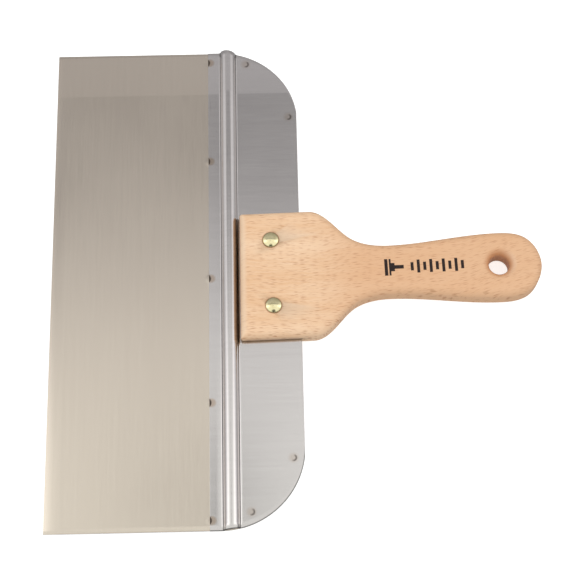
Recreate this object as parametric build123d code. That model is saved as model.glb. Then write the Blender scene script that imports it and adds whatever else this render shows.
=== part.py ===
"""Drywall taping knife: a wide flexible blade, a stiffener plate with a pressed rib,
a one-piece beech handle and two brass two-part rivets.

The knife is drawn with its working edge on X = 0, its width along Y, and Z = 0 in the
middle of the handle's thickness. place_on_ground() then moves every piece together, so
that the origin is at the bottom centre of the whole knife's box. Lengths are in
millimetres and angles in degrees.
"""
import math
import os

from build123d import *

# Blade: a thin spring sheet that runs from the working edge to the back of the slot
blade_width = 300.0
blade_thickness = 0.5
sheet_length = 147.1
corner_radius = 48.0
corner_start = 99.5

# Stiffener plate: a shorter sheet on the blade's front face, spot-welded to it
plate_thickness = 0.6
plate_front = 93.0
plate_overhang = 0.15

# Half-round rib pressed up out of the plate, parallel to the working edge
rib_centre = 105.25
rib_outer_radius = 5.3
rib_inner_radius = rib_outer_radius - plate_thickness
rib_foot_radius = 0.8

# Electrode marks of the spot welds
rear_weld_radius = 2.1
rear_weld_depth = 0.16
rear_weld_places = [(116.3, 142.0), (142.0, 105.2), (140.5, -109.2), (116.3, -139.7)]
edge_weld_radius = 2.4
edge_weld_depth = 0.35
edge_weld_x = plate_front + 0.2
edge_weld_places = [-144.2, -76.0, 0.0, 76.0, 143.4]

# Handle: front face and slot are square to the blade, the rest leans a little to one side
handle_front = 111.5
handle_length = 178.2
handle_thickness = 17.0
handle_skew = 1.4
edge_rounding = 5.0
front_corner_radius = 1.2
block_half_width = 39.1
shoulder_start = 42.0
shoulder_bend = (55.0, 31.8)
neck_bend = (67.0, 20.3)
neck_place = 88.0
neck_half_width = 15.3
grip_place = 153.0
grip_half_width = 20.3
tip_bend = (169.5, 16.9)
slot_length = sheet_length - handle_front + 1.6
slot_height = blade_thickness + plate_thickness

# Hanging hole near the end of the grip
hang_hole_radius = 6.0
hang_hole_place = 152.9
hang_hole_rounding = 5.0

# Rivets: a headed sleeve from the front and a headed pin pressed into it from the back
rivet_place = 18.9
rivet_half_spacing = 20.5
rivet_head_radius = 4.7
rivet_rim_height = 0.4
rivet_dome_height = 1.1
sleeve_radius = 3.0
pin_radius = 2.0
sleeve_end_gap = 1.5
pin_end_gap = 2.5

half_thickness = handle_thickness / 2
blade_bottom = -slot_height / 2
plate_bottom = blade_bottom + blade_thickness
rivet_x = handle_front + rivet_place


def in_handle(shape):
    """Takes a shape drawn along the handle's own centre line to its place on the knife."""
    turned = Rot(0, 0, handle_skew) * Pos(-rivet_place, 0, 0) * shape
    return Pos(rivet_x, 0, 0) * turned


def sheet_outline(front, half_width, rear, radius, start):
    """Flat outline with square front corners and large rounded rear corners.

    The corner arc leaves the side edge smoothly and meets the rear edge at a faint kink.
    """
    reach = math.sqrt(radius**2 - (rear - start) ** 2)
    rear_y = half_width - radius + reach
    side = Line((front, half_width), (start, half_width))
    corner = RadiusArc((start, half_width), (rear, rear_y), radius)
    rear_edge = Line((rear, rear_y), (rear, -rear_y))
    far_corner = RadiusArc((rear, -rear_y), (start, -half_width), radius)
    far_side = Line((start, -half_width), (front, -half_width))
    front_edge = Line((front, -half_width), (front, half_width))
    return make_face([side, corner, rear_edge, far_corner, far_side, front_edge])


def rivet_points():
    """Rivet centres, measured from the handle's front face."""
    return [(rivet_place, side * rivet_half_spacing) for side in (-1, 1)]


def rivet_holes():
    """Straight cutters for the sleeves, right through wood and steel."""
    cutter = Cylinder(sleeve_radius, 2 * handle_thickness)
    return [in_handle(Pos(x, y, 0) * cutter) for x, y in rivet_points()]


def dish(radius, depth):
    """Ball that presses a round mark of this radius and depth into a face at z = 0."""
    ball_radius = (radius**2 + depth**2) / (2 * depth)
    return Pos(0, 0, ball_radius - depth) * Sphere(ball_radius)


def make_blade():
    """Thin sheet, a little narrower than the plate, with the same rear corners."""
    outline = sheet_outline(
        0.0,
        blade_width / 2,
        sheet_length - plate_overhang,
        corner_radius - plate_overhang,
        corner_start,
    )
    sheet = Pos(0, 0, blade_bottom) * extrude(outline, blade_thickness)
    for hole in rivet_holes():
        sheet -= hole
    return sheet


def rib_section(front, rear):
    """Cross-section of the plate: flat sheet with the half-round rib and its soft feet."""
    low_corner = (Align.MIN, Align.MIN)
    sheet = Pos(front, 0) * Rectangle(rear - front, plate_thickness, align=low_corner)
    rib = Pos(rib_centre, 0) * Circle(rib_outer_radius)
    above = Pos(front, 0) * Rectangle(rear - front, 2 * rib_outer_radius, align=low_corner)
    section = sheet + (rib & above)
    foot_x = math.sqrt(rib_outer_radius**2 - plate_thickness**2)
    feet = [
        corner
        for corner in section.vertices()
        if abs(abs(corner.X - rib_centre) - foot_x) < 0.01 and corner.Y > plate_thickness / 2
    ]
    section = fillet(feet, rib_foot_radius)
    return section - Pos(rib_centre, 0) * Circle(rib_inner_radius)


def make_stiffener_plate():
    """Welded-on sheet with the rib along its whole width, and the weld marks."""
    half_width = blade_width / 2 + plate_overhang
    outline = sheet_outline(plate_front, half_width, sheet_length, corner_radius, corner_start)
    section = rib_section(plate_front - 1, sheet_length + 1)
    plate = extrude(Plane.XZ * section, 2 * half_width, both=True)
    plate &= extrude(outline, 2 * rib_outer_radius)
    rear_mark = dish(rear_weld_radius, rear_weld_depth)
    for x, y in rear_weld_places:
        plate -= Pos(x, y, plate_thickness) * rear_mark
    edge_mark = dish(edge_weld_radius, edge_weld_depth)
    for y in edge_weld_places:
        plate -= Pos(edge_weld_x, y, plate_thickness) * edge_mark
    plate = Pos(0, 0, plate_bottom) * plate
    for hole in rivet_holes():
        plate -= hole
    return plate


def handle_outline():
    """Plan of the handle: head block, rounded shoulders, narrow neck, fuller grip, round end.

    It is drawn a little too long at the front, turned, and then cut square there.
    """
    forward = (1, 0)
    front = -block_half_width * math.tan(math.radians(handle_skew)) - 1
    block = Polyline((front, 0), (front, block_half_width), (shoulder_start, block_half_width))
    shoulder = Spline(
        (shoulder_start, block_half_width),
        shoulder_bend,
        neck_bend,
        (neck_place, neck_half_width),
        tangents=[forward, forward],
    )
    grip = Spline(
        (neck_place, neck_half_width),
        (grip_place, grip_half_width),
        tangents=[forward, forward],
    )
    end = Spline(
        (grip_place, grip_half_width),
        tip_bend,
        (handle_length, 0),
        tangents=[forward, (0, -1)],
    )
    centre_line = Line((handle_length, 0), (front, 0))
    half = make_face([block, shoulder, grip, end, centre_line])
    whole = in_handle((half + mirror(half, Plane.XZ)).clean())
    room = Rectangle(2 * handle_length, 3 * block_half_width, align=(Align.MIN, Align.CENTER))
    return whole & Pos(handle_front, 0) * room


def make_handle():
    """One piece of beech with a saw slot for the sheets, rivet holes and a hanging hole."""
    body = extrude(handle_outline(), half_thickness, both=True)
    top_edges = body.faces().sort_by(Axis.Z)[-1].edges()
    bottom_edges = body.faces().sort_by(Axis.Z)[0].edges()
    body = fillet(top_edges + bottom_edges, edge_rounding)
    front_corners = body.edges().filter_by(Axis.Z).group_by(Axis.X)[0]
    body = fillet(front_corners, front_corner_radius)
    body -= in_handle(Pos(hang_hole_place, 0, 0) * Cylinder(hang_hole_radius, 2 * handle_thickness))
    rims = [
        edge
        for edge in body.edges().filter_by(GeomType.CIRCLE)
        if abs(edge.radius - hang_hole_radius) < 0.01
        and abs(abs(edge.center().Z) - half_thickness) < 0.01
    ]
    body = fillet(rims, hang_hole_rounding)
    slot_size = (slot_length, 3 * block_half_width, slot_height)
    slot = Box(*slot_size, align=(Align.MIN, Align.CENTER, Align.CENTER))
    body -= Pos(handle_front, 0, 0) * slot
    for hole in rivet_holes():
        body -= hole
    return body


def rivet_head():
    """Low domed head that stands on z = 0, with a short straight rim."""
    crown = rivet_rim_height + rivet_dome_height
    rim = (rivet_head_radius, rivet_rim_height)
    dome_radius = (rivet_head_radius**2 + rivet_dome_height**2) / (2 * rivet_dome_height)
    sides = Polyline((0, crown), (0, 0), (rivet_head_radius, 0), rim)
    dome = RadiusArc(rim, (0, crown), -dome_radius)
    profile = make_face([sides, dome])
    if profile.area < rivet_head_radius * rivet_rim_height:
        raise ValueError("the dome's arc bends the wrong way")
    return revolve(Plane.XZ * profile, Axis.Z)


def make_sleeve():
    """Headed tube that fills the hole from the front, open at its back end."""
    length = handle_thickness - sleeve_end_gap
    tube = Cylinder(sleeve_radius, length, align=(Align.CENTER, Align.CENTER, Align.MAX))
    bore = Cylinder(pin_radius, length, align=(Align.CENTER, Align.CENTER, Align.MAX))
    return Pos(0, 0, half_thickness) * (rivet_head() + tube - bore)


def make_pin():
    """Headed pin from the back, pressed into the sleeve."""
    length = handle_thickness - pin_end_gap
    shank = Cylinder(pin_radius, length, align=(Align.CENTER, Align.CENTER, Align.MIN))
    head = Rot(180, 0, 0) * rivet_head()
    return Pos(0, 0, -half_thickness) * (head + shank)


def at_rivets(shape):
    """The same fastener at both rivet places, as separate solids."""
    copies = [in_handle(Pos(x, y, 0) * shape) for x, y in rivet_points()]
    return Compound(copies)


def place_on_ground(pieces):
    """Moves every piece together, so that the origin is the bottom centre of their box."""
    box = Compound(list(pieces.values())).bounding_box()
    middle = box.center()
    move = Pos(-middle.X, -middle.Y, -box.min.Z)
    print("moved by", move.position)
    return {name: move * shape for name, shape in pieces.items()}


def main():
    pieces = {
        "blade": make_blade(),
        "stiffener_plate": make_stiffener_plate(),
        "handle": make_handle(),
        "rivet_sleeves": at_rivets(make_sleeve()),
        "rivet_pins": at_rivets(make_pin()),
    }
    os.makedirs("parts", exist_ok=True)
    for name, shape in place_on_ground(pieces).items():
        export_step(shape, f"parts/{name}.step")
        print(name, len(shape.solids()), round(shape.volume, 1))


main()
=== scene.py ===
"""Looks of the drywall taping knife: satin blade, ribbed stiffener plate, beech handle, brass rivets.

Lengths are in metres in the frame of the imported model: +X runs from the working edge to the
end of the handle, +Y along the blade's width, and +Z out of the face that has the rib.
"""

import logging
import math
from dataclasses import dataclass
from enum import Enum
from typing import Iterable, Sequence

import bmesh
import bpy
from mathutils import Matrix, Vector


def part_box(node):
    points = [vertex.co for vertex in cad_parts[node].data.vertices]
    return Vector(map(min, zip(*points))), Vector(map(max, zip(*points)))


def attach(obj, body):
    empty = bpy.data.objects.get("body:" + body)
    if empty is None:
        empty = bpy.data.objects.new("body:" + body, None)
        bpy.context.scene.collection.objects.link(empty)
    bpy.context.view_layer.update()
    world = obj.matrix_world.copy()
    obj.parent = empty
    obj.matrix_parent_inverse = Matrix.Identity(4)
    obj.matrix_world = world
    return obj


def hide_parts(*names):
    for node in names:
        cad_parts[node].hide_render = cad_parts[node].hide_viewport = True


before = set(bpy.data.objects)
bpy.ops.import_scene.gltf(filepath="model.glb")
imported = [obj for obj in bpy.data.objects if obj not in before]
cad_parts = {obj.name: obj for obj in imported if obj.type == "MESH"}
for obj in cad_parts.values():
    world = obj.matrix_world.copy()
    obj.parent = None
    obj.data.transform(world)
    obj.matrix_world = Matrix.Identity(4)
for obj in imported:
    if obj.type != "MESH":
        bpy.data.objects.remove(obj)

MM = 0.001
BODY = "root"
LOG = logging.getLogger("taping_knife")

Number = float | int
Place = tuple[float, float]
Colour = tuple[float, float, float]
Box = tuple[float, float, float]
Grade = tuple[Place, ...]


class Axis(Enum):
    """The three directions of the frame."""

    X = (1.0, 0.0, 0.0)
    Y = (0.0, 1.0, 0.0)
    Z = (0.0, 0.0, 1.0)


class Face(Enum):
    """The side of a sheet that a weld electrode has marked."""

    FRONT = 1.0
    BACK = -1.0


# ---------------------------------------------------------------- shader maths


class Signal:
    """A number that varies over a surface, with Python operators for its Math nodes."""

    def __init__(self, tree: "NodeTree", socket: bpy.types.NodeSocket) -> None:
        """Wraps a socket.

        Args:
            tree: the node tree that the socket is in.
            socket: the output socket that carries the number.
        """
        self.tree = tree
        self.socket = socket

    def math(self, operation: str, *others: "Signal | Number", clamp: bool = False) -> "Signal":
        """Adds one Math node that starts from this number.

        Args:
            operation: the Math node's operation.
            others: its remaining inputs.
            clamp: whether the result is held between 0 and 1.

        Returns:
            The node's result.
        """
        return self.tree.math(operation, self, *others, clamp=clamp)

    def __add__(self, other: "Signal | Number") -> "Signal":
        """This number plus another."""
        return self.math("ADD", other)

    def __radd__(self, other: Number) -> "Signal":
        """A plain number plus this one."""
        return self.math("ADD", other)

    def __sub__(self, other: "Signal | Number") -> "Signal":
        """This number less another."""
        return self.math("SUBTRACT", other)

    def __rsub__(self, other: Number) -> "Signal":
        """A plain number less this one."""
        return self.tree.math("SUBTRACT", other, self)

    def __mul__(self, other: "Signal | Number") -> "Signal":
        """This number times another."""
        return self.math("MULTIPLY", other)

    def __truediv__(self, other: "Signal | Number") -> "Signal":
        """This number over another."""
        return self.math("DIVIDE", other)

    def __pow__(self, other: "Signal | Number") -> "Signal":
        """This number to a power."""
        return self.math("POWER", other)

    def size(self) -> "Signal":
        """This number without its sign."""
        return self.math("ABSOLUTE")

    def squared(self) -> "Signal":
        """This number times itself."""
        return self.math("MULTIPLY", self)

    def clamped(self) -> "Signal":
        """This number held between 0 and 1."""
        return self.math("ADD", 0.0, clamp=True)

    def above(self, low: Number, high: Number) -> "Signal":
        """A soft step, from 0 below low to 1 above high.

        Args:
            low: where the step starts.
            high: where it ends.

        Returns:
            The stepped number.
        """
        made = self.tree.node(
            "ShaderNodeMapRange",
            {"interpolation_type": "SMOOTHSTEP"},
            {0: self, 1: low, 2: high, 3: 0.0, 4: 1.0},
        )
        return Signal(self.tree, made.outputs[0])

    def below(self, low: Number, high: Number) -> "Signal":
        """A soft step down, from 1 below low to 0 above high."""
        return 1 - self.above(low, high)


class NodeTree:
    """A material's or world's node tree, with one method that makes any node."""

    def __init__(self, tree: bpy.types.NodeTree) -> None:
        """Clears the tree and keeps it.

        Args:
            tree: the tree to fill.
        """
        tree.nodes.clear()
        self.tree = tree

    def node(
        self,
        kind: str,
        settings: dict | None = None,
        values: dict | None = None,
        stops: Sequence[tuple[float, Colour | float]] = (),
    ) -> bpy.types.Node:
        """Makes one node.

        Args:
            kind: the node's type.
            settings: its properties, set before its sockets.
            values: socket name or index to a value, a Signal or an output socket.
            stops: the stops of a ramp, as places and colours or grey levels.

        Returns:
            The new node.
        """
        made = self.tree.nodes.new(kind)
        for name, value in (settings or {}).items():
            setattr(made, name, value)
        for index, (place, tint) in enumerate(stops):
            ramp = made.color_ramp.elements
            stop = ramp[index] if index < 2 else ramp.new(place)
            stop.position = place
            grey = isinstance(tint, (int, float))
            stop.color = (tint, tint, tint, 1.0) if grey else (*tint, 1.0)
        for name, value in (values or {}).items():
            source = value.socket if isinstance(value, Signal) else value
            if isinstance(source, bpy.types.NodeSocket):
                self.tree.links.new(source, made.inputs[name])
            elif isinstance(source, tuple) and len(source) == 3 and made.inputs[name].type == "RGBA":
                made.inputs[name].default_value = (*source, 1.0)
            else:
                made.inputs[name].default_value = source
        return made

    def math(self, operation: str, *terms: Signal | Number, clamp: bool = False) -> Signal:
        """Adds a Math node.

        Args:
            operation: the node's operation.
            terms: its inputs in order.
            clamp: whether the result is held between 0 and 1.

        Returns:
            The node's result.
        """
        settings = {"operation": operation, "use_clamp": clamp}
        made = self.node("ShaderNodeMath", settings, dict(enumerate(terms)))
        return Signal(self, made.outputs[0])

    def place(self, output: str = "Object") -> bpy.types.NodeSocket:
        """The coordinates of the point being shaded."""
        return self.node("ShaderNodeTexCoord").outputs[output]

    def split(self, vector: bpy.types.NodeSocket) -> tuple[Signal, Signal, Signal]:
        """The three parts of a vector."""
        made = self.node("ShaderNodeSeparateXYZ", values={0: vector})
        return tuple(Signal(self, made.outputs[part]) for part in range(3))

    def join(self, x: Signal | Number, y: Signal | Number, z: Signal | Number) -> bpy.types.NodeSocket:
        """A vector from three numbers."""
        return self.node("ShaderNodeCombineXYZ", values={0: x, 1: y, 2: z}).outputs[0]

    def scaled(self, vector: bpy.types.NodeSocket, scale: Sequence[float]) -> bpy.types.NodeSocket:
        """A vector stretched along each axis.

        Args:
            vector: the vector to stretch.
            scale: how many pattern cells fit in a metre, along each axis.

        Returns:
            The stretched vector.
        """
        return self.node("ShaderNodeMapping", values={"Vector": vector, "Scale": tuple(scale)}).outputs[0]

    def noise(
        self,
        vector: bpy.types.NodeSocket,
        scale: Sequence[float],
        detail: float = 2.0,
        roughness: float = 0.5,
    ) -> Signal:
        """Cloudy noise from about 0 to 1.

        Args:
            vector: the coordinates that it is laid out on.
            scale: pattern cells in a metre, along each axis.
            detail: how many finer layers it has.
            roughness: how strong the finer layers are.

        Returns:
            The noise.
        """
        values = {"Vector": self.scaled(vector, scale), "Scale": 1.0}
        values |= {"Detail": detail, "Roughness": roughness}
        return Signal(self, self.node("ShaderNodeTexNoise", values=values).outputs[0])

    def cells(self, vector: bpy.types.NodeSocket, scale: Sequence[float]) -> tuple[Signal, Signal]:
        """Scatters points, for flecks and spots.

        Args:
            vector: the coordinates that the points are scattered in.
            scale: points in a metre, along each axis.

        Returns:
            The distance to the nearest point, in cells, and that point's own random number.
        """
        values = {"Vector": self.scaled(vector, scale), "Scale": 1.0, "Randomness": 1.0}
        made = self.node("ShaderNodeTexVoronoi", values=values)
        return Signal(self, made.outputs["Distance"]), self.split(made.outputs["Color"])[0]

    def mix(
        self,
        factor: Signal | Number,
        first: Colour | bpy.types.NodeSocket,
        second: Colour | bpy.types.NodeSocket,
    ) -> bpy.types.NodeSocket:
        """Blends two colours.

        Args:
            factor: how much of the second colour there is.
            first: the first colour.
            second: the second colour.

        Returns:
            The blended colour.
        """
        made = self.node("ShaderNodeMix", {"data_type": "RGBA"}, {0: factor, 6: first, 7: second})
        return made.outputs[2]

    def bump(self, height: Signal, depth: float) -> bpy.types.NodeSocket:
        """Relief from a height.

        Args:
            height: the height, in units of depth.
            depth: how many metres a height of 1 stands for.

        Returns:
            The bumped normal.
        """
        values = {"Strength": 1.0, "Distance": depth, "Height": height}
        return self.node("ShaderNodeBump", values=values).outputs[0]


def new_material(name: str) -> tuple[bpy.types.Material, NodeTree]:
    """An empty node material.

    Args:
        name: the material's name.

    Returns:
        The material and its tree.
    """
    material = bpy.data.materials.new(name)
    material.use_nodes = True
    return material, NodeTree(material.node_tree)


def total(masks: Iterable[Signal]) -> Signal:
    """The sum of some masks."""
    first, *rest = masks
    return sum(rest, first)


def distance(x: Signal, y: Signal, centre: Place) -> Signal:
    """How far the point being shaded is from a centre.

    Args:
        x: the point's first coordinate.
        y: its second coordinate.
        centre: the centre's own two.

    Returns:
        The distance, in the same units.
    """
    return ((x - centre[0]).squared() + (y - centre[1]).squared()) ** 0.5


def finish_material(tree: NodeTree, values: dict) -> None:
    """Adds the surface shader and the output.

    Args:
        tree: the material's tree.
        values: the surface shader's sockets.
    """
    surface = tree.node("ShaderNodeBsdfPrincipled", values=values)
    tree.node("ShaderNodeOutputMaterial", values={"Surface": surface.outputs[0]})


# ---------------------------------------------------------------- mesh helpers


def new_piece(name: str, mesh: bmesh.types.BMesh, smooth_angle: float = 35.0) -> bpy.types.Object:
    """Turns a finished mesh into an object at the origin.

    Args:
        name: the object's name.
        mesh: the mesh, which is freed.
        smooth_angle: edges sharper than this many degrees stay crisp.

    Returns:
        The object.
    """
    limit = math.radians(smooth_angle)
    for face in mesh.faces:
        face.smooth = True
    for edge in mesh.edges:
        edge.smooth = len(edge.link_faces) == 2 and edge.calc_face_angle(0.0) < limit
    data = bpy.data.meshes.new(name)
    mesh.to_mesh(data)
    mesh.free()
    piece = bpy.data.objects.new(name, data)
    bpy.context.scene.collection.objects.link(piece)
    return piece


def declare(piece: bpy.types.Object, node: str, material: bpy.types.Material) -> None:
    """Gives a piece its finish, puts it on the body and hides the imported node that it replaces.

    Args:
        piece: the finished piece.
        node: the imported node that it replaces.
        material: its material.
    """
    piece.data.materials.append(material)
    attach(piece, BODY)
    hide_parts(node)
    triangles = sum(len(face.vertices) - 2 for face in piece.data.polygons)
    LOG.info("%s: %d triangles, finish %s", piece.name, triangles, material.name)


def chain(mesh: bmesh.types.BMesh, points: Iterable[Sequence[float]]) -> list[bmesh.types.BMEdge]:
    """Draws straight edges through some points.

    Args:
        mesh: the mesh to draw in.
        points: the points in order.

    Returns:
        The edges.
    """
    first, *rest = points
    tip = bmesh.ops.create_vert(mesh, co=first)["vert"][0]
    edges = []
    for point in rest:
        made = bmesh.ops.extrude_vert_indiv(mesh, verts=[tip])
        tip = made["verts"][0]
        tip.co = point
        edges += made["edges"]
    return edges


def ease_edges(mesh: bmesh.types.BMesh, degrees: float, radius: float, segments: int) -> None:
    """Rounds every sharp edge of a mesh.

    Args:
        mesh: the mesh.
        degrees: how sharp an edge has to be.
        radius: how far the rounding reaches from the edge.
        segments: how many steps it has.
    """
    limit = math.radians(degrees)
    sharp = [edge for edge in mesh.edges if len(edge.link_faces) == 2 and edge.calc_face_angle(0.0) > limit]
    bmesh.ops.bevel(
        mesh,
        geom=sharp,
        offset=radius,
        offset_type="OFFSET",
        affect="EDGES",
        segments=segments,
        profile=0.5,
        material=-1,
        clamp_overlap=True,
    )


def hermite(start: Place, leave: Place, end: Place, arrive: Place, steps: int) -> list[Place]:
    """Points on the smooth curve that has these ends and these tangents.

    Args:
        start: the curve's first point, which isn't in the result.
        leave: its tangent there, as long as the curve's speed.
        end: its last point.
        arrive: its tangent there.
        steps: how many points it gives.

    Returns:
        The points.
    """
    points = []
    for step in range(1, steps + 1):
        t = step / steps
        weights = (
            2 * t**3 - 3 * t**2 + 1,
            t**3 - 2 * t**2 + t,
            3 * t**2 - 2 * t**3,
            t**3 - t**2,
        )
        ends = (start, leave, end, arrive)
        points.append(tuple(sum(w * p[side] for w, p in zip(weights, ends)) for side in (0, 1)))
    return points


def spline(points: Sequence[Place], leave: Place, arrive: Place, steps: int) -> list[Place]:
    """Points on the smoothest curve through some points, with given end directions.

    Args:
        points: the points that it goes through.
        leave: its direction at the first point, of length 1.
        arrive: its direction at the last point, of length 1.
        steps: how many points each stretch gives.

    Returns:
        The curve's points after the first.
    """
    spans = [math.dist(a, b) for a, b in zip(points, points[1:])]
    slopes = [leave, *[(0.0, 0.0)] * (len(points) - 2), arrive]
    for _ in range(60):
        for i in range(1, len(points) - 1):
            before, after = spans[i - 1], spans[i]
            total = []
            for side in (0, 1):
                rise = 3 * (
                    (points[i][side] - points[i - 1][side]) / before * after
                    + (points[i + 1][side] - points[i][side]) / after * before
                )
                pull = after * slopes[i - 1][side] + before * slopes[i + 1][side]
                total.append((rise - pull) / (2 * (before + after)))
            slopes[i] = tuple(total)
    drawn = []
    for i, span in enumerate(spans):
        out = tuple(span * part for part in slopes[i])
        into = tuple(span * part for part in slopes[i + 1])
        drawn += hermite(points[i], out, points[i + 1], into, steps)
    return drawn


# ---------------------------------------------------------------- sheets


@dataclass(frozen=True)
class WeldMark:
    """A shallow round dent that a spot-welding electrode has left."""

    x: float
    y: float
    radius: float
    depth: float

    def drop(self, x: float, y: float) -> float:
        """How far the sheet is pressed in at a point.

        Args:
            x: the point's X.
            y: the point's Y.

        Returns:
            The depth there, 0 outside the dent.
        """
        share = math.hypot(x - self.x, y - self.y) / self.radius
        return self.depth * (1 - share**2) if share < 1 else 0.0


@dataclass
class Sheet:
    """A thin steel sheet with square front corners and large rounded rear corners."""

    name: str
    front: float
    rear: float
    half_width: float
    low: float
    high: float
    corner_radius: float
    corner_start: float
    marks: tuple[WeldMark, ...] = ()
    marked: Face = Face.FRONT
    wide_step: float = 9 * MM
    fine_step: float = 0.3 * MM
    corner_steps: int = 34
    edge_radius: float = 0.07 * MM
    edge_angle: float = 60.0

    def reach(self, x: float) -> float:
        """Half the sheet's width at one distance along the knife."""
        along = min(max(x - self.corner_start, 0.0), self.corner_radius)
        return self.half_width - self.corner_radius + math.sqrt(self.corner_radius**2 - along**2)

    def spaced(self, low: float, high: float, fine: Iterable[tuple[float, float]]) -> list[float]:
        """Grid lines that are close together only where the sheet is dented.

        Args:
            low: the first line.
            high: the last line.
            fine: the stretches that need close lines.

        Returns:
            The lines in order.
        """
        steps = math.ceil((high - low) / self.wide_step)
        lines = [low + (high - low) * step / steps for step in range(steps + 1)]
        for start, stop in fine:
            lines = [line for line in lines if not start < line < stop or line in (low, high)]
            count = math.ceil((stop - start) / self.fine_step)
            added = [start + (stop - start) * step / count for step in range(count + 1)]
            lines += [line for line in added if low < line < high]
        lines.sort()
        kept = [lines[0]]
        for line in lines[1:-1]:
            if line - kept[-1] > self.fine_step / 3 and lines[-1] - line > self.fine_step / 3:
                kept.append(line)
        return [*kept, lines[-1]]

    def stations(self) -> list[float]:
        """Grid lines along the knife: at the dents, round the rear corners and in between."""
        fine = [(mark.x - mark.radius, mark.x + mark.radius) for mark in self.marks]
        lines = self.spaced(self.front, self.rear, fine)
        turn = math.asin((self.rear - self.corner_start) / self.corner_radius)
        for step in range(1, self.corner_steps):
            lines.append(self.corner_start + self.corner_radius * math.sin(turn * step / self.corner_steps))
        lines.append(self.corner_start)
        lines.sort()
        kept = [lines[0]]
        for line in lines[1:]:
            gap = self.fine_step / 4 if line < lines[-1] else 0.0
            if line - kept[-1] > gap:
                kept.append(line)
        return kept

    def rows(self) -> list[float]:
        """Grid lines across the knife, as shares of the half width from -1 to 1."""
        fine = []
        for mark in self.marks:
            reach = self.reach(mark.x)
            fine.append(((mark.y - mark.radius) / reach, (mark.y + mark.radius) / reach))
        scaled = [(low * self.half_width, high * self.half_width) for low, high in fine]
        lines = self.spaced(-self.half_width, self.half_width, scaled)
        return [line / self.half_width for line in lines]

    def section(self) -> list[tuple[float, float]]:
        """The sheet's lower side from front to rear, as X and Z."""
        return [(x, self.low) for x in self.stations()]

    def is_marked(self, vert: bmesh.types.BMVert) -> bool:
        """Whether a vertex is on the flat face that the electrodes marked."""
        level = self.high if self.marked is Face.FRONT else self.low
        return abs(vert.co.z - level) < (self.high - self.low) / 4

    def build(self) -> bmesh.types.BMesh:
        """Makes the sheet as a closed, slightly eased shell.

        Returns:
            The mesh.
        """
        section, rows = self.section(), self.rows()
        mesh = bmesh.new()
        bmesh.ops.create_grid(
            mesh, x_segments=len(section) - 1, y_segments=len(rows) - 1, size=0.5, matrix=Matrix.Identity(4)
        )
        for vert in mesh.verts:
            column = round((vert.co.x + 0.5) * (len(section) - 1))
            row = round((vert.co.y + 0.5) * (len(rows) - 1))
            x, z = section[column]
            vert.co = (x, rows[row] * self.reach(x), z)
        bmesh.ops.recalc_face_normals(mesh, faces=mesh.faces[:])
        if sum(face.normal.z for face in mesh.faces) > 0:
            bmesh.ops.reverse_faces(mesh, faces=mesh.faces[:])
        bmesh.ops.solidify(mesh, geom=mesh.faces[:], thickness=self.low - self.high)
        self.dent(mesh)
        ease_edges(mesh, self.edge_angle, self.edge_radius, 2)
        return mesh

    def dent(self, mesh: bmesh.types.BMesh) -> None:
        """Presses the weld marks into the marked face."""
        for vert in mesh.verts:
            if self.is_marked(vert):
                drop = max((mark.drop(vert.co.x, vert.co.y) for mark in self.marks), default=0.0)
                vert.co.z -= self.marked.value * drop


@dataclass(kw_only=True)
class RibbedSheet(Sheet):
    """The stiffener plate: a sheet with a half-round rib pressed up across it."""

    rib_centre: float
    rib_radius: float
    foot_radius: float
    rib_steps: int = 26
    foot_steps: int = 6

    def rib_profile(self) -> list[tuple[float, float]]:
        """Lower side of the rib from its front foot to its rear foot, as X and Z."""
        thickness = self.high - self.low
        outer = self.rib_radius + thickness
        rise = thickness + self.foot_radius
        span = math.sqrt((outer + self.foot_radius) ** 2 - rise**2)
        meet = math.asin(rise / (outer + self.foot_radius))
        foot_outer = self.foot_radius + thickness
        half = []
        for step in range(self.foot_steps):
            turn = (math.pi / 2 - meet) * step / self.foot_steps
            half.append((span - foot_outer * math.sin(turn), self.low + foot_outer * (1 - math.cos(turn))))
        for step in range(self.rib_steps // 2 + 1):
            turn = meet + (math.pi / 2 - meet) * step / (self.rib_steps // 2)
            half.append((self.rib_radius * math.cos(turn), self.low + self.rib_radius * math.sin(turn)))
        front = [(self.rib_centre - x, z) for x, z in half]
        rear = [(self.rib_centre + x, z) for x, z in reversed(half[:-1])]
        return front + rear

    def section(self) -> list[tuple[float, float]]:
        """The plate's lower side from front to rear, with the rib in it."""
        rib = self.rib_profile()
        flat = super().section()
        margin = self.fine_step
        before = [point for point in flat if point[0] < rib[0][0] - margin]
        after = [point for point in flat if point[0] > rib[-1][0] + margin]
        return before + rib + after


# ---------------------------------------------------------------- handle


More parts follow.
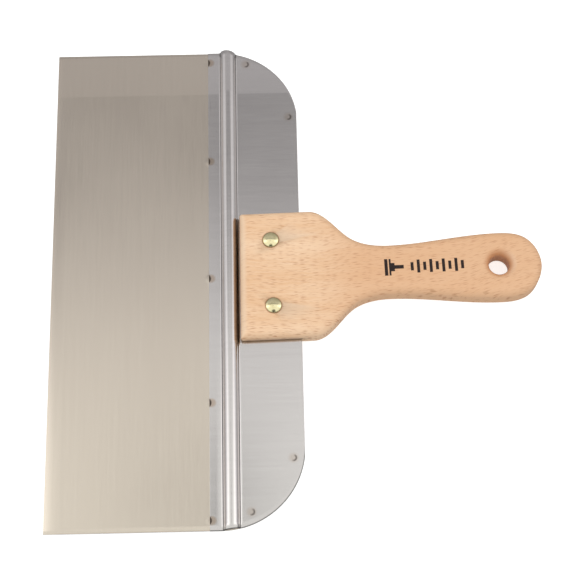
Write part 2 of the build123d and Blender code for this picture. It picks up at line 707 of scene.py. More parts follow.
@dataclass
class Handle:
    """One piece of beech: head block, rounded shoulders, narrow neck, fuller grip, round end."""

    front: float
    length: float
    half_thickness: float
    middle: float
    lean: float = math.radians(1.4)
    rivet_place: float = 18.9 * MM
    rivet_half_spacing: float = 20.5 * MM
    block_half_width: float = 39.1 * MM
    corner_easing: float = 1.2 * MM
    corner_angle: float = 25.0
    shoulder_start: float = 42.0 * MM
    shoulder_bend: Place = (55.0 * MM, 31.8 * MM)
    neck_bend: Place = (67.0 * MM, 20.3 * MM)
    neck: Place = (88.0 * MM, 15.3 * MM)
    grip: Place = (153.0 * MM, 20.3 * MM)
    tip_bend: Place = (169.5 * MM, 16.9 * MM)
    rounding: float = 5.0 * MM
    rounding_steps: int = 9
    hole_place: float = 152.9 * MM
    hole_radius: float = 6.0 * MM
    hole_steps: int = 72
    slot_depth: float = 37.2 * MM
    slot_half_height: float = 0.72 * MM
    rivet_hole_radius: float = 3.05 * MM
    support: float = 0.5 * MM
    steps: int = 14

    def to_knife(self, point: Place) -> Place:
        """Turns a point on the handle's own centre line to its place on the knife.

        Args:
            point: distance behind the handle's front, and distance off its centre line.

        Returns:
            X and Y in the frame.
        """
        along, across = point[0] - self.rivet_place, point[1]
        x = along * math.cos(self.lean) - across * math.sin(self.lean)
        y = along * math.sin(self.lean) + across * math.cos(self.lean)
        return (self.front + self.rivet_place + x, y)

    def rivets(self) -> list[Place]:
        """The two rivet centres."""
        spread = (-self.rivet_half_spacing, self.rivet_half_spacing)
        return [self.to_knife((self.rivet_place, side)) for side in spread]

    def side(self, sign: float) -> list[Place]:
        """One side of the plan, from the front corner's end to the tip.

        Args:
            sign: 1 for the side towards +Y, -1 for the other.

        Returns:
            Points in the frame, the last on the centre line.
        """
        start = (self.shoulder_start, self.block_half_width)
        forward, across = (1.0, 0.0), (0.0, -1.0)
        bends = (self.shoulder_bend, self.neck_bend)
        shoulder = spline([start, *bends, self.neck], forward, forward, self.steps)
        grip = spline([self.neck, self.grip], forward, forward, 3 * self.steps)
        end = spline([self.grip, self.tip_bend, (self.length, 0.0)], forward, across, 2 * self.steps)
        drawn = [start, *shoulder, *grip, *end]
        return [self.to_knife((x, sign * y)) for x, y in drawn]

    def draw_plan(self, mesh: bmesh.types.BMesh) -> None:
        """Draws the closed plan on the handle's upper face.

        Args:
            mesh: the mesh to draw in.
        """
        right, left = self.side(-1.0), self.side(1.0)
        low = (self.front, self.side_line(-1.0, self.front))
        high = (self.front, self.side_line(1.0, self.front))
        plan = [high, *self.straight(high, low), *self.straight(low, right[0]), *right[1:]]
        plan += [*reversed(left[:-1]), *self.straight(left[0], high)]
        chain(mesh, [(*point, self.middle + self.half_thickness) for point in plan])

    def side_line(self, sign: float, x: float) -> float:
        """Y of the head block's straight side at one X."""
        start = self.to_knife((0.0, sign * self.block_half_width))
        return start[1] + (x - start[0]) * math.tan(self.lean)

    def straight(self, start: Place, end: Place) -> list[Place]:
        """Points on a straight stretch after its start, further apart than the rounding reaches."""
        count = max(2, round(math.dist(start, end) / (1.6 * self.rounding)))
        shares = [step / count for step in range(1, count + 1)]
        return [tuple(a + (b - a) * share for a, b in zip(start, end)) for share in shares]

    def build(self) -> bmesh.types.BMesh:
        """Makes the rounded board with its hanging hole, before any saw cut.

        Returns:
            The mesh.
        """
        mesh = bmesh.new()
        self.draw_plan(mesh)
        bmesh.ops.remove_doubles(mesh, verts=mesh.verts[:], dist=0.02 * MM)
        bmesh.ops.contextual_create(mesh, geom=mesh.edges[:])
        face = max(mesh.faces, key=lambda found: found.calc_area())
        if face.normal.z < 0:
            bmesh.ops.reverse_faces(mesh, faces=[face])
        self.round_over(mesh, face)
        self.drill(mesh)
        bmesh.ops.mirror(
            mesh,
            geom=mesh.verts[:] + mesh.edges[:] + mesh.faces[:],
            matrix=Matrix.Translation((0, 0, -self.middle)),
            merge_dist=0.01 * MM,
            axis="Z",
        )
        bmesh.ops.remove_doubles(mesh, verts=mesh.verts[:], dist=0.005 * MM)
        bmesh.ops.recalc_face_normals(mesh, faces=mesh.faces[:])
        ease_edges(mesh, self.corner_angle, self.corner_easing, 4)
        return mesh

    def round_over(self, mesh: bmesh.types.BMesh, face: bmesh.types.BMFace) -> None:
        """Takes the board's upper half from its middle level to the rounded upper edge.

        Args:
            mesh: the mesh.
            face: the plan as one face.
        """
        bmesh.ops.translate(mesh, verts=face.verts[:], vec=(0, 0, -self.half_thickness))
        wall = self.half_thickness - self.rounding
        made = bmesh.ops.extrude_face_region(mesh, geom=[face])
        top = next(item for item in made["geom"] if isinstance(item, bmesh.types.BMFace))
        bmesh.ops.translate(mesh, verts=top.verts[:], vec=(0, 0, wall))
        if face.is_valid:
            bmesh.ops.delete(mesh, geom=[face], context="FACES_ONLY")
        turns = [math.pi / 2 * step / self.rounding_steps for step in range(self.rounding_steps + 1)]
        for before, after in zip(turns, turns[1:]):
            inward = self.rounding * (math.cos(before) - math.cos(after))
            rise = self.rounding * (math.sin(after) - math.sin(before))
            bmesh.ops.inset_region(mesh, faces=[top], thickness=inward, depth=0.0, use_even_offset=True)
            bmesh.ops.translate(mesh, verts=top.verts[:], vec=(0, 0, rise))
        bmesh.ops.inset_region(mesh, faces=[top], thickness=self.support, depth=0.0, use_even_offset=True)
        bmesh.ops.delete(mesh, geom=[top], context="FACES_ONLY")

    def drill(self, mesh: bmesh.types.BMesh) -> None:
        """Adds the hanging hole's wall and rounded rim, then fills the upper face round it.

        Args:
            mesh: the board's upper half, open on top and at its middle level.
        """
        level = self.middle + self.half_thickness
        centre = Vector((*self.to_knife((self.hole_place, 0.0)), level))
        rounded = self.half_thickness - self.rounding
        profile = [(0.0, -self.half_thickness), (0.0, rounded - self.half_thickness)]
        for step in range(1, self.rounding_steps + 1):
            turn = math.pi / 2 * step / self.rounding_steps
            profile.append((self.rounding * (1 - math.cos(turn)), self.rounding * (math.sin(turn) - 1)))
        profile.append((self.rounding + self.support, 0.0))
        bmesh.ops.spin(
            mesh,
            geom=chain(mesh, [centre + Vector((self.hole_radius + out, 0, up)) for out, up in profile]),
            cent=centre,
            axis=Axis.Z.value,
            angle=math.tau,
            steps=self.hole_steps,
            use_merge=True,
        )
        rim = [
            edge
            for edge in mesh.edges
            if edge.is_boundary and all(abs(vert.co.z - level) < 0.01 * MM for vert in edge.verts)
        ]
        bmesh.ops.triangle_fill(mesh, edges=rim, use_beauty=True, use_dissolve=False)

    def cutters(self) -> list[bpy.types.Object]:
        """The saw slot and the two rivet drills, as solids to take away.

        Returns:
            The cutters, which are removed after use.
        """
        room = 20 * MM
        slot = bmesh.new()
        low = Vector((self.front - room, -4 * room, self.middle - self.slot_half_height))
        high = Vector((self.front + self.slot_depth, 4 * room, self.middle + self.slot_half_height))
        bmesh.ops.create_cube(slot, size=1.0, matrix=Matrix.Identity(4))
        bmesh.ops.scale(slot, vec=high - low, verts=slot.verts[:])
        bmesh.ops.translate(slot, vec=(high + low) / 2, verts=slot.verts[:])
        made = [new_piece("saw_cut", slot)]
        for place in self.rivets():
            drill = bmesh.new()
            bmesh.ops.create_cone(
                drill,
                cap_ends=True,
                segments=40,
                radius1=self.rivet_hole_radius,
                radius2=self.rivet_hole_radius,
                depth=2 * room,
                matrix=Matrix.Translation((*place, self.middle)),
            )
            made.append(new_piece("drill", drill))
        return made

    def make(self) -> bpy.types.Object:
        """Builds the handle and saws and drills it.

        Returns:
            The finished piece.
        """
        piece = new_piece("beech_handle", self.build(), smooth_angle=40.0)
        cutters = self.cutters()
        for cutter in cutters:
            cut = piece.modifiers.new("cut", "BOOLEAN")
            cut.operation = "DIFFERENCE"
            cut.solver = "EXACT"
            cut.object = cutter
        ready = piece.evaluated_get(bpy.context.evaluated_depsgraph_get())
        data = bpy.data.meshes.new_from_object(ready)
        piece.modifiers.clear()
        piece.data = data
        for cutter in cutters:
            bpy.data.objects.remove(cutter)
        return piece


# ---------------------------------------------------------------- rivets


@dataclass
class Rivet:
    """A two-part brass rivet: a headed sleeve from the front and a headed pin from the back."""

    places: list[Place]
    middle: float
    half_thickness: float
    head_radius: float = 4.7 * MM
    rim_height: float = 0.4 * MM
    crown_height: float = 1.5 * MM
    rim_easing: float = 0.18 * MM
    sleeve_radius: float = 3.0 * MM
    pin_radius: float = 2.0 * MM
    sleeve_end_gap: float = 1.5 * MM
    pin_end_gap: float = 2.5 * MM
    press_gap: float = 0.02 * MM
    steps: int = 64
    dome_steps: int = 14
    rim_steps: int = 4

    def head(self) -> list[Place]:
        """The head's outside from its axis to the wood, as radius and height."""
        dome = self.crown_height - self.rim_height
        ball = (self.head_radius**2 + dome**2) / (2 * dome)
        turn = math.asin((self.head_radius - self.rim_easing) / ball)
        points = []
        for step in range(self.dome_steps + 1):
            angle = turn * step / self.dome_steps
            points.append((ball * math.sin(angle), self.crown_height - ball * (1 - math.cos(angle))))
        last = points[-1][1]
        for step in range(1, self.rim_steps + 1):
            angle = math.pi / 2 * step / self.rim_steps
            out = self.rim_easing * math.sin(angle)
            down = self.rim_easing * (1 - math.cos(angle))
            points.append((self.head_radius - self.rim_easing + out, last - down))
        return [*points, (self.head_radius, 0.0)]

    def revolve(self, mesh: bmesh.types.BMesh, profile: Sequence[Place], place: Place, side: Face) -> None:
        """Turns a profile into a closed solid.

        Args:
            mesh: the mesh to add it to.
            profile: radius and height above the wood, from the axis round to the axis.
            place: the rivet's centre.
            side: the side of the handle that the head is on.
        """
        base = Vector((*place, self.middle + side.value * self.half_thickness))
        places = [base + Vector((radius, 0, side.value * height)) for radius, height in profile]
        bmesh.ops.spin(
            mesh,
            geom=chain(mesh, places),
            cent=base,
            axis=Axis.Z.value,
            angle=math.tau,
            steps=self.steps,
            use_merge=True,
        )

    def make(self, name: str, profile: Sequence[Place], side: Face) -> bpy.types.Object:
        """Makes the same part of both rivets.

        Args:
            name: the piece's name.
            profile: radius and height above the wood.
            side: the side that the head is on.

        Returns:
            The finished piece.
        """
        mesh = bmesh.new()
        for place in self.places:
            self.revolve(mesh, profile, place, side)
        bmesh.ops.remove_doubles(mesh, verts=mesh.verts[:], dist=0.002 * MM)
        bmesh.ops.recalc_face_normals(mesh, faces=mesh.faces[:])
        return new_piece(name, mesh, smooth_angle=50.0)

    def sleeves(self) -> bpy.types.Object:
        """The headed tubes, whose heads show on the front."""
        end = self.sleeve_end_gap - 2 * self.half_thickness
        tube = [(self.sleeve_radius, 0.0), (self.sleeve_radius, end)]
        bore_radius = self.pin_radius + self.press_gap
        bore = [(bore_radius, end), (bore_radius, 0.0), (0.0, 0.0)]
        return self.make("rivet_sleeves_brass", [*self.head(), *tube, *bore], Face.FRONT)

    def pins(self) -> bpy.types.Object:
        """The headed pins, whose heads show on the back."""
        end = self.pin_end_gap - 2 * self.half_thickness
        shank = [(self.pin_radius, 0.0), (self.pin_radius, end), (0.0, end)]
        return self.make("rivet_pins_brass", [*self.head(), *shank], Face.BACK)


# ---------------------------------------------------------------- finishes


@dataclass(frozen=True)
class SatinSteel:
    """Brushed stainless sheet with fine grain, handling marks, heat-tinted welds with painted shade in
    their dents, and cut edges darkened with painted shade.

    The sheet's relief curls up by a hair beyond curl_start. Its rim shade is a thin line of painted shade
    along the rim on the side towards -Y, round the corner whose centre is at corner.
    """

    name: str
    light: Colour
    dark: Colour
    roughness: float
    grain: tuple[float, float, float]
    streaks: tuple[float, float, float]
    scratches: float
    sheet_top: float
    rear_marks: tuple[WeldMark, ...] = ()
    edge_marks: tuple[WeldMark, ...] = ()
    # Painted shade: the dark crescents in the weld dents and the dark wedges at the edge welds.
    weld_shade: Colour = (0.05, 0.036, 0.03)
    straw: Colour = (0.42, 0.29, 0.17)
    # Painted shade on the cut edges, darker than their dull steel.
    cut_edge_shade: Colour = (0.05, 0.047, 0.045)
    relief: float = 0.006 * MM
    streak_relief: float = 0.3
    curl_start: float = 121.6 * MM
    curl_blend: float = 0.8 * MM
    curl_slope: float = 0.03
    top_margin: Place = (0.05 * MM, 0.25 * MM)
    corner: Place = (0.0, 0.0)
    corner_radius: float = 0.0
    # Strength and reach of the painted shade line along the rim on the -Y side.
    rim_shade: float = 0.0
    rim_shade_start: float = 0.7 * MM
    rim_shade_full: float = 0.3 * MM

    def crescent(self, x: Signal, y: Signal, mark: WeldMark) -> tuple[Signal, Signal]:
        """Masks of the crescent of painted shade on one side of a round weld dent, and of the faint heat
        tint round it.

        Args:
            x: X of the point being shaded.
            y: its Y.
            mark: the weld mark.

        Returns:
            The crescent and the tint.
        """
        across, along = (x - mark.x) / mark.radius, (y - mark.y) / mark.radius
        share = distance(across, along, (0.0, 0.0))
        # The side of the dent that is painted with shade.
        shaded_side = (across - along * 0.35).above(-0.4, 0.6)
        return share.above(0.3, 0.75) * share.below(0.8, 1.15) * shaded_side, share.below(0.5, 1.9)

    def wedge(self, x: Signal, y: Signal, mark: WeldMark) -> tuple[Signal, Signal]:
        """Masks of the wedge of painted gap shade at an edge weld and the straw heat tint behind it.

        Args:
            x: X of the point being shaded.
            y: its Y.
            mark: the weld mark.

        Returns:
            The wedge and the tint.
        """
        along = (y - mark.y) / (1.15 * mark.radius)
        behind = (x - mark.x) / mark.radius
        wedge = ((1 - along.squared()) * 0.62 - behind).above(0.05, 0.35)
        stain = ((behind - 0.35).squared() * 0.7 + along.squared()).below(0.25, 1.4)
        return wedge, stain

    def make(self) -> bpy.types.Material:
        """Builds the material."""
        material, tree = new_material(self.name)
        place = tree.place()
        x, y, z = tree.split(place)
        grain = tree.noise(place, self.grain, detail=3.0, roughness=0.7)
        streaks = tree.noise(place, self.streaks, detail=3.0, roughness=0.6)
        clouds = tree.noise(place, (9.0, 9.0, 9.0), detail=3.0)
        shade = (grain * 0.35 + streaks * 0.2 + clouds * 0.45).above(0.3, 0.7)
        colour = tree.mix(shade, self.dark, self.light)
        patches = tree.noise(place, (24.0, 24.0, 24.0), detail=1.0)
        slant = {"Vector": place, "Rotation": (0.0, 0.0, math.radians(58.0))}
        slanted = tree.node("ShaderNodeMapping", values=slant).outputs[0]
        lines = tree.noise(slanted, (50.0, 2400.0, 50.0), detail=0.0)
        more_lines = tree.noise(place, (1900.0, 46.0, 46.0), detail=0.0)
        scratch = (lines.above(0.72, 0.8) + more_lines.above(0.74, 0.8)) * patches.above(0.42, 0.6)
        scratch = (scratch * self.scratches).clamped()
        colour = tree.mix(scratch * 0.4, colour, self.light)
        rough = self.roughness + (clouds - 0.5) * 0.08 + (grain - 0.5) * 0.06 - scratch * 0.05
        past_start = (y - self.curl_start).math("SMOOTH_MAX", 0.0, self.curl_blend)
        curl = past_start * (self.curl_slope / self.relief)
        height = grain * 0.6 + streaks * self.streak_relief + scratch * 0.5 - curl
        if self.rear_marks:
            dark, tint = map(total, zip(*[self.crescent(x, y, mark) for mark in self.rear_marks]))
            gap_shade, straw = map(total, zip(*[self.wedge(x, y, mark) for mark in self.edge_marks]))
            colour = tree.mix((tint * 0.28 + straw * 0.55).clamped(), colour, self.straw)
            # Painted shade: dark crescents in the weld dents and dark wedges in the gaps at the edge welds.
            colour = tree.mix((dark * 0.72 + gap_shade * 0.9).clamped(), colour, self.weld_shade)
            rough = rough + gap_shade * 0.25
        # The cut edges are dull steel; their near-black colour is painted shade.
        _, side_on, facing = tree.split(tree.node("ShaderNodeNewGeometry").outputs["True Normal"])
        in_sheet = (z - self.sheet_top).below(*self.top_margin)
        cut = facing.size().below(0.6, 0.85) * in_sheet + side_on.size().above(0.5, 0.8)
        colour = tree.mix(cut.clamped(), colour, self.cut_edge_shade)
        # Painted shade: a thin dark line along the corner arc's rim on the -Y side.
        if self.rim_shade:
            over = (x - self.corner[0]).math("MAXIMUM", 0.0)
            down = (0 - y - self.corner[1]).math("MAXIMUM", 0.0)
            inside = self.corner_radius - distance(over, down, (0.0, 0.0))
            rim = inside.below(self.rim_shade_full, self.rim_shade_start)
            colour = tree.mix(rim * self.rim_shade, colour, self.cut_edge_shade)
        finish_material(
            tree,
            {
                "Base Color": colour,
                "Metallic": 1.0,
                "Roughness": rough,
                "Normal": tree.bump(height, self.relief),
            },
        )
        return material


@dataclass(frozen=True)
class Stamp:
    """A plain dark pictogram of a taping knife beside a row of measuring ticks."""

    origin: Place
    lean: float
    level: float
    start: float = 51.5 * MM
    ticks_start: float = 66.0 * MM
    tick_pitch: float = 3.7 * MM
    tick_count: int = 9
    short_tick: float = 2.6 * MM
    tick_step: float = 1.5 * MM
    soft: float = 0.12 * MM
    blade: Box = (2.0 * MM, 1.9 * MM, 5.2 * MM)
    rib_gap: Box = (2.4 * MM, 0.35 * MM, 5.4 * MM)
    block: Box = (5.0 * MM, 1.1 * MM, 2.6 * MM)
    grip: Box = (8.6 * MM, 2.8 * MM, 1.15 * MM)

    def bar(self, along: Signal, across: Signal, box: Box) -> Signal:
        """Mask of one rectangle on the handle's centre line.

        Args:
            along: distance along the handle.
            across: distance off its centre line.
            box: the rectangle's centre behind the stamp's start, half its length and half its height.

        Returns:
            The mask.
        """
        centre, length, height = box
        wide = (along - self.start - centre).size().below(length - self.soft, length + self.soft)
        return wide * across.size().below(height - self.soft, height + self.soft)

    def mask(self, tree: NodeTree, place: bpy.types.NodeSocket) -> Signal:
        """Mask of the whole stamp on the handle's upper face.

        Args:
            tree: the material's tree.
            place: object coordinates.

        Returns:
            The mask.
        """
        x, y, z = tree.split(place)
        turn, slope = math.cos(self.lean), math.sin(self.lean)
        along = (x - self.origin[0]) * turn + (y - self.origin[1]) * slope + self.origin[0]
        across = (y - self.origin[1]) * turn - (x - self.origin[0]) * slope
        boxes = (self.blade, self.rib_gap, self.block, self.grip)
        blade, gap, block, grip = (self.bar(along, across, box) for box in boxes)
        icon = (blade - gap + block + grip).clamped()
        half_length = self.tick_pitch * self.tick_count / 2
        share = (along - self.ticks_start) / self.tick_pitch
        tick = (share.math("FRACT") - 0.5).size().below(0.21, 0.27)
        tall = ((share * 0.5).math("FRACT") - 0.5).above(0.0, 0.01)
        height = (across.size() - self.short_tick - tall * self.tick_step).below(-self.soft, self.soft)
        from_middle = (along - self.ticks_start - half_length).size()
        inside = from_middle.below(half_length, half_length + self.soft)
        ink = tree.noise(place, (1400.0, 1400.0, 1400.0), detail=1.0).above(0.22, 0.4)
        on_top = z.above(self.level - 0.5 * MM, self.level - 0.2 * MM)
        return (icon + tick * height * inside).clamped() * on_top * (ink * 0.15 + 0.85)


@dataclass(frozen=True)
class Beech:
    """Steamed beech with short dark flecks along the grain and ray flecks on its sides."""

    name: str
    rivets: tuple[Place, ...]
    hole: Place
    stamp: Stamp
    pale: Colour = (0.88, 0.625, 0.42)
    deep: Colour = (0.78, 0.482, 0.275)
    oiled: Colour = (0.72, 0.41, 0.225)
    fleck: Colour = (0.53, 0.26, 0.14)
    # Painted highlight colour for the front rounding.
    front_highlight: Colour = (0.87, 0.66, 0.48)
    # Colour of the end grain, also painted round the hanging hole as shade.
    end_grain_and_hole_shade: Colour = (0.55, 0.25, 0.11)
    ray: Colour = (0.50, 0.27, 0.14)
    ink: Colour = (0.014, 0.005, 0.004)
    grip_start: float = 45.0 * MM
    drift: Place = (200.0 * MM, 24.0 * MM)
    rivet_shadow: Place = (4.85 * MM, 5.4 * MM)
    rim_depth: float = 0.4 * MM
    # Reach of the painted shade round the hanging hole.
    hole_shade: Place = (6.0 * MM, 10.5 * MM)
    relief: float = 0.04 * MM

    def make(self) -> bpy.types.Material:
        """Builds the material."""
        material, tree = new_material(self.name)
        place = tree.place()
        x, y, z = tree.split(place)
        sway = (tree.noise(place, (16.0, 16.0, 16.0), detail=1.0) - 0.5) * 0.012
        drift = x.above(0.0, self.drift[0]) * self.drift[1]
        grain_place = tree.join(x, y - drift + sway, z)
        rings = tree.noise(grain_place, (6.0, 95.0, 40.0), detail=2.0, roughness=0.55)
        fibres = tree.noise(grain_place, (110.0, 1700.0, 900.0), detail=2.0, roughness=0.6)
        clouds = tree.noise(place, (18.0, 34.0, 30.0), detail=2.0)
        tone = (rings * 0.4 + fibres * 0.35 + clouds * 0.25).above(0.34, 0.66)
        colour = tree.mix(tone, self.deep, self.pale)
        handled = x.above(0.0, self.grip_start)
        colour = tree.mix(handled * 0.7, colour, self.oiled)
        near, chance = tree.cells(grain_place, (160.0, 1500.0, 120.0))
        flecks = near.below(0.05, 0.44) * chance.above(0.1, 0.6)
        near, chance = tree.cells(grain_place, (250.0, 2100.0, 160.0))
        pores = near.below(0.06, 0.44) * chance.above(0.2, 0.7)
        marks = (flecks * 0.85 + pores * 0.6).clamped()
        colour = tree.mix(marks, colour, self.fleck)
        normal = tree.split(tree.node("ShaderNodeNewGeometry").outputs["Normal"])
        side = normal[1].size().above(0.3, 0.7)
        # Painted highlight: the front rounding, tilted towards -X and up, is painted paler as if lit.
        lit_front_edge = (0 - normal[0]).above(0.05, 0.6) * normal[2].above(0.1, 0.5)
        colour = tree.mix(lit_front_edge * 0.6, colour, self.front_highlight)
        near, chance = tree.cells(grain_place, (150.0, 60.0, 420.0))
        rays = near.below(0.14, 0.34) * chance.above(0.4, 0.5) * side
        colour = tree.mix(rays * 0.55, colour, self.ray)
        end_grain = normal[0].size().above(0.85, 1.0)
        colour = tree.mix(end_grain * 0.5, colour, self.end_grain_and_hole_shade)
        on_top = z.above(self.stamp.level - self.rim_depth, self.stamp.level)
        for rivet in self.rivets:
            ring = distance(x, y, rivet).below(*self.rivet_shadow) * on_top
            colour = tree.mix(ring * 0.75, colour, self.fleck)
        # Darker round the hanging hole: painted shade in its wall and rounded mouth, partly the darker end
        # grain there.
        hole_shade = distance(x, y, self.hole).below(*self.hole_shade)
        colour = tree.mix(hole_shade * 0.75, colour, self.end_grain_and_hole_shade)
        colour = tree.mix(self.stamp.mask(tree, place), colour, self.ink)
        rough = 0.46 + (fibres - 0.5) * 0.16 + marks * 0.12
        height = fibres * 0.5 - marks * 0.7 - rays * 0.4
        finish_material(
            tree,
            {
                "Base Color": colour,
                "Roughness": rough,
                "Specular IOR Level": 0.35,
                "Normal": tree.bump(height, self.relief),
            },
        )
        return material


@dataclass(frozen=True)
class Brass:
    """Pressed brass, lightly rubbed on the crown, with painted shade and a painted reflection of the wood
    round the rim.
    """

    name: str
    rivets: tuple[Place, ...]
    head_radius: float
    bright: Colour = (0.90, 0.82, 0.50)
    dull: Colour = (0.74, 0.64, 0.33)
    # Painted shade and painted reflection of the wood at the head's rim.
    head_rim_shade: Colour = (0.20, 0.145, 0.06)
    rim_start: Place = (0.84, 0.99)
    rim_end: Place = (1.2, 1.3)
    relief: float = 0.008 * MM

    def make(self) -> bpy.types.Material:
        """Builds the material."""
        material, tree = new_material(self.name)
        place = tree.place()
        x, y, _ = tree.split(place)
        clouds = tree.noise(place, (260.0, 260.0, 260.0), detail=3.0)
        lines = tree.noise(place, (900.0, 5200.0, 900.0), detail=1.0)
        shade = (clouds * 0.7 + lines * 0.3).above(0.2, 0.6)
        colour = tree.mix(shade, self.dull, self.bright)
        rough = 0.16 + (clouds - 0.5) * 0.1 + (lines - 0.5) * 0.06
        # Painted shade and painted reflection of the wood round each head's rim.
        for rivet in self.rivets:
            away = distance(x, y, rivet) / self.head_radius
            rim = away.above(*self.rim_start) * away.below(*self.rim_end)
            colour = tree.mix(rim * (clouds * 0.5 + 0.4), colour, self.head_rim_shade)
            rough = rough + rim * 0.12
        finish_material(
            tree,
            {
                "Base Color": colour,
                "Metallic": 1.0,
                "Roughness": rough,
                "Normal": tree.bump(clouds * 0.6 + lines * 0.4, self.relief),
            },
        )
        return material


# ---------------------------------------------------------------- studio


@dataclass(frozen=True)
class DarkSpot:
    """A soft-edged dark spot of the sky, in degrees from the zenith towards +Y and +X."""

    along: float
    across: float
    inner: float
    outer: float
    depth: float
    squeeze: float = 1.0

    def left(self, along: Signal, across: Signal) -> Signal:
        """How much light the spot leaves.

        Args:
            along: degrees from the zenith towards +Y.
            across: degrees from the zenith towards +X.

        Returns:
            The share, 1 outside the spot.
        """
        centre = (self.along, self.across * self.squeeze)
        spot = distance(along, across * self.squeeze, centre).below(self.inner, self.outer)
        return 1 - spot * self.depth


@dataclass(frozen=True)
class Studio:
    """White table, a soft graded sky with two long panels, and the camera."""

    target: tuple[float, float, float] = (-0.002965, -0.009444, 0.010)
    distance: float = 0.88367
    azimuth: float = math.radians(-91.652)
    elevation: float = math.radians(70.079)
    roll: float = math.radians(0.391)
    lens: float = 92.466
    floor_size: float = 6.0
    table_grey: Colour = (0.72, 0.72, 0.72)
    table_glow: float = 0.7
    mirrored: Grade = (
        (-90.0, 0.3),
        (-45.0, 0.6),
        (-30.0, 1.05),
        (9.0, 1.0),
        (13.0, 1.17),
        (19.0, 0.9),
        (22.0, 0.6),
        (25.0, 0.35),
        (27.5, 0.28),
        (31.0, 0.62),
        (36.0, 0.55),
        (60.0, 0.4),
        (90.0, 0.4),
    )
    panels: Grade = (
        (0.0, 0.0),
        (18.0, 0.0),
        (38.0, 1.0),
        (52.0, 1.0),
        (70.0, 0.72),
        (90.0, 0.55),
    )
    shining: Grade = (
        (-90.0, 0.7),
        (-40.0, 1.06),
        (10.0, 1.26),
        (45.0, 1.08),
        (90.0, 0.25),
    )
    dark_spots: tuple[DarkSpot, ...] = (
        DarkSpot(along=12.2, across=-3.5, inner=1.0, outer=3.9, depth=0.95, squeeze=1.4),
        DarkSpot(along=-25.0, across=0.0, inner=9.0, outer=16.0, depth=0.93),
    )
    panel_light: float = 1.85
    panel_fade: Place = (14.0, 40.0)
    panel_turn: Place = (11.0, 31.0)
    panel_spread: float = 14.0
    panel_end: Place = (0.52, 0.62)
    tinted: Place = (10.0, 26.0)
    warm: Colour = (1.0, 1.0, 0.985)
    cool: Colour = (1.0, 0.975, 1.0)

    def camera(self) -> None:
        """Places the camera."""
        data = bpy.data.cameras.new("camera")
        data.lens = self.lens
        data.sensor_width = 36.0
        data.clip_start = 0.01
        camera = bpy.data.objects.new("camera", data)
        bpy.context.scene.collection.objects.link(camera)
        level = math.cos(self.elevation)
        around = (math.cos(self.azimuth) * level, math.sin(self.azimuth) * level)
        back = Vector((*around, math.sin(self.elevation)))
        turn = (-back).to_track_quat("-Z", "Y").to_matrix().to_4x4()
        place = Matrix.Translation(Vector(self.target) + back * self.distance)
        camera.matrix_world = place @ turn @ Matrix.Rotation(self.roll, 4, "Z")
        bpy.context.scene.camera = camera

    def floor(self) -> None:
        """Lays the white table that the knife lies on."""
        mesh = bmesh.new()
        flat = Matrix.Identity(4)
        bmesh.ops.create_grid(mesh, x_segments=1, y_segments=1, size=self.floor_size / 2, matrix=flat)
        piece = new_piece("table_top", mesh)
        material, tree = new_material("white_table")
        matt = tree.node("ShaderNodeBsdfDiffuse", values={"Color": self.table_grey})
        glow = tree.node("ShaderNodeEmission", values={"Strength": self.table_glow})
        both = tree.node("ShaderNodeAddShader", values={0: matt.outputs[0], 1: glow.outputs[0]})
        tree.node("ShaderNodeOutputMaterial", values={"Surface": both.outputs[0]})
        piece.data.materials.append(material)
        piece.visible_diffuse = False
        piece.visible_glossy = False

    def graded(self, tree: NodeTree, angle: Signal, grade: Grade) -> Signal:
        """Brightness that changes along one arc of the sky.

        Args:
            tree: the world's tree.
            angle: degrees along the arc, from -90 to 90.
            grade: degrees and the brightness there.

        Returns:
            The brightness.
        """
        stops = [((degrees + 90) / 180, level) for degrees, level in grade]
        ramp = tree.node("ShaderNodeValToRGB", {}, {0: (angle + 90) / 180}, stops)
        return Signal(tree, ramp.outputs[0])

    def sky(self) -> None:
        """Surrounds the table with soft light, and with the panels that the metal mirrors."""
        world = bpy.data.worlds.new("soft_studio")
        world.use_nodes = True
        bpy.context.scene.world = world
        tree = NodeTree(world.node_tree)
        x, y, z = tree.split(tree.place("Generated"))
        along = y.math("ARCTAN2", z) * (180 / math.pi)
        across = x.math("ARCTAN2", z) * (180 / math.pi)
        level = self.graded(tree, along, self.mirrored)
        for spot in self.dark_spots:
            level = level * spot.left(along, across)
        apart = across.size() - along.above(*self.panel_turn) * self.panel_spread
        in_reach = z.above(0.0, 0.08) * y.above(0.0, 0.1) * y.below(*self.panel_end)
        panels = self.graded(tree, apart, self.panels) * in_reach
        lit = self.panel_light - along.above(*self.panel_fade)
        level = level * (1 - panels) + lit * panels
        ray = tree.node("ShaderNodeLightPath").outputs
        mirrors, seen = (Signal(tree, ray[f"Is {kind} Ray"]) for kind in ("Glossy", "Camera"))
        soft = self.graded(tree, along, self.shining)
        level = level * mirrors + soft * (1 - mirrors)
        level = level * (1 - seen) + seen
        tint = tree.mix(along.above(*self.tinted) * mirrors, self.warm, self.cool)
        light = tree.node("ShaderNodeBackground", values={"Color": tint, "Strength": level})
        tree.node("ShaderNodeOutputWorld", values={"Surface": light.outputs[0]})

    def set_up(self) -> None:
        """Builds the whole studio."""
        self.camera()
        self.floor()
        self.sky()
        bpy.context.scene.view_settings.view_transform = "Standard"


# ---------------------------------------------------------------- the knife


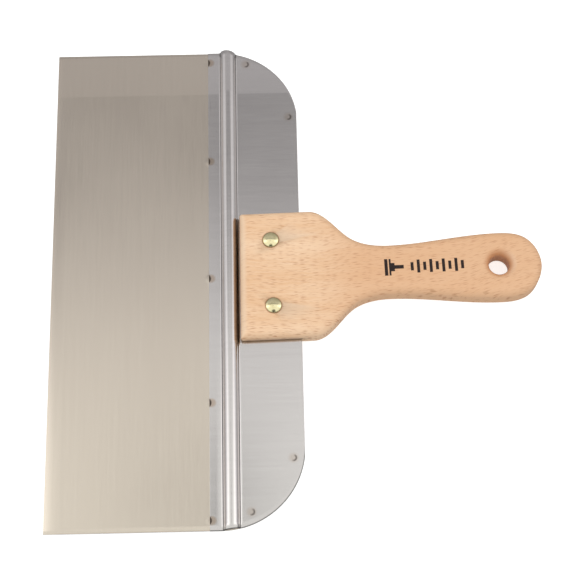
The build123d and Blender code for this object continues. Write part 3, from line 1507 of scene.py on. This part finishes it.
@dataclass
class TapingKnife:
    """The whole knife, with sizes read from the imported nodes."""

    corner_radius: float = 48.0 * MM
    corner_start: float = 99.5 * MM
    plate_thickness: float = 0.6 * MM
    rib_place: float = 105.25 * MM
    foot_radius: float = 0.8 * MM
    handle_length: float = 178.2 * MM
    rear_welds: tuple[Place, ...] = (
        (116.3 * MM, 142.0 * MM),
        (142.0 * MM, 105.2 * MM),
        (140.5 * MM, -109.2 * MM),
        (116.3 * MM, -139.7 * MM),
    )
    rear_weld: Place = (2.1 * MM, 0.16 * MM)
    edge_weld_x: float = 93.2 * MM
    edge_welds: tuple[float, ...] = (-144.2 * MM, -76.0 * MM, 0.0, 76.0 * MM, 143.4 * MM)
    edge_weld: Place = (2.4 * MM, 0.35 * MM)
    back_weld: Place = (2.6 * MM, 0.05 * MM)

    def marks(self, edge: float) -> tuple[WeldMark, ...]:
        """The nine weld marks.

        Args:
            edge: X of the working edge.

        Returns:
            The marks, rear ones first.
        """
        rear = [WeldMark(edge + x, y, *self.rear_weld) for x, y in self.rear_welds]
        front = [WeldMark(edge + self.edge_weld_x, y, *self.edge_weld) for y in self.edge_welds]
        return (*rear, *front)

    def blade(self) -> None:
        """Builds the blade."""
        low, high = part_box("blade")
        marks = tuple(WeldMark(mark.x, mark.y, *self.back_weld) for mark in self.marks(low.x))
        sheet = Sheet(
            name="blade_satin",
            front=low.x,
            rear=high.x,
            half_width=high.y,
            low=low.z,
            high=high.z,
            corner_radius=self.corner_radius,
            corner_start=low.x + self.corner_start,
            marks=marks,
            marked=Face.BACK,
        )
        finish = SatinSteel(
            name="satin_blade_steel",
            light=(0.70, 0.63, 0.535),
            dark=(0.65, 0.582, 0.492),
            roughness=0.2,
            grain=(2600.0, 60.0, 60.0),
            streaks=(420.0, 8.0, 8.0),
            scratches=0.3,
            sheet_top=sheet.high,
        )
        piece = new_piece(sheet.name, sheet.build(), smooth_angle=45.0)
        declare(piece, "blade", finish.make())

    def stiffener(self) -> None:
        """Builds the stiffener plate."""
        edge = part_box("blade")[0].x
        low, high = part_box("stiffener_plate")
        marks = self.marks(edge)
        sheet = RibbedSheet(
            name="stiffener_plate_bright",
            front=low.x,
            rear=high.x,
            half_width=high.y,
            low=low.z,
            high=low.z + self.plate_thickness,
            corner_radius=self.corner_radius,
            corner_start=edge + self.corner_start,
            marks=marks,
            rib_centre=edge + self.rib_place,
            rib_radius=high.z - low.z - self.plate_thickness,
            foot_radius=self.foot_radius,
        )
        finish = SatinSteel(
            name="bright_plate_steel",
            light=(0.665, 0.642, 0.622),
            dark=(0.595, 0.574, 0.556),
            roughness=0.17,
            grain=(60.0, 2300.0, 60.0),
            streaks=(10.0, 300.0, 10.0),
            scratches=0.8,
            sheet_top=sheet.high,
            streak_relief=0.06,
            corner=(sheet.corner_start, sheet.half_width - sheet.corner_radius),
            corner_radius=sheet.corner_radius,
            # Strength of the painted shade line along the -Y rim.
            rim_shade=0.75,
            rear_marks=marks[: len(self.rear_welds)],
            edge_marks=marks[len(self.rear_welds) :],
        )
        piece = new_piece(sheet.name, sheet.build(), smooth_angle=45.0)
        declare(piece, "stiffener_plate", finish.make())

    def handle(self) -> Handle:
        """Builds the handle.

        Returns:
            Its sizes, for the rivets.
        """
        low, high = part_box("handle")
        handle = Handle(
            front=low.x,
            length=self.handle_length,
            half_thickness=(high.z - low.z) / 2,
            middle=(high.z + low.z) / 2,
        )
        rivets = handle.rivets()
        middle = tuple(sum(rivet[side] for rivet in rivets) / len(rivets) for side in (0, 1))
        finish = Beech(
            name="steamed_beech",
            rivets=tuple(rivets),
            hole=handle.to_knife((handle.hole_place, 0.0)),
            stamp=Stamp(origin=middle, lean=handle.lean, level=high.z),
        )
        declare(handle.make(), "handle", finish.make())
        return handle

    def rivets(self, handle: Handle) -> None:
        """Builds both rivets.

        Args:
            handle: the handle that they go through.
        """
        rivet = Rivet(places=handle.rivets(), middle=handle.middle, half_thickness=handle.half_thickness)
        brass = Brass("pressed_brass", tuple(handle.rivets()), rivet.head_radius).make()
        declare(rivet.sleeves(), "rivet_sleeves", brass)
        declare(rivet.pins(), "rivet_pins", brass)


def main() -> None:
    """Builds the knife piece by piece, then the studio."""
    logging.basicConfig(level=logging.INFO, format="%(name)s: %(message)s")
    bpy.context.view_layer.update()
    knife = TapingKnife()
    knife.blade()
    knife.stiffener()
    handle = knife.handle()
    knife.rivets(handle)
    Studio().set_up()


if __name__ == "__main__":
    main()
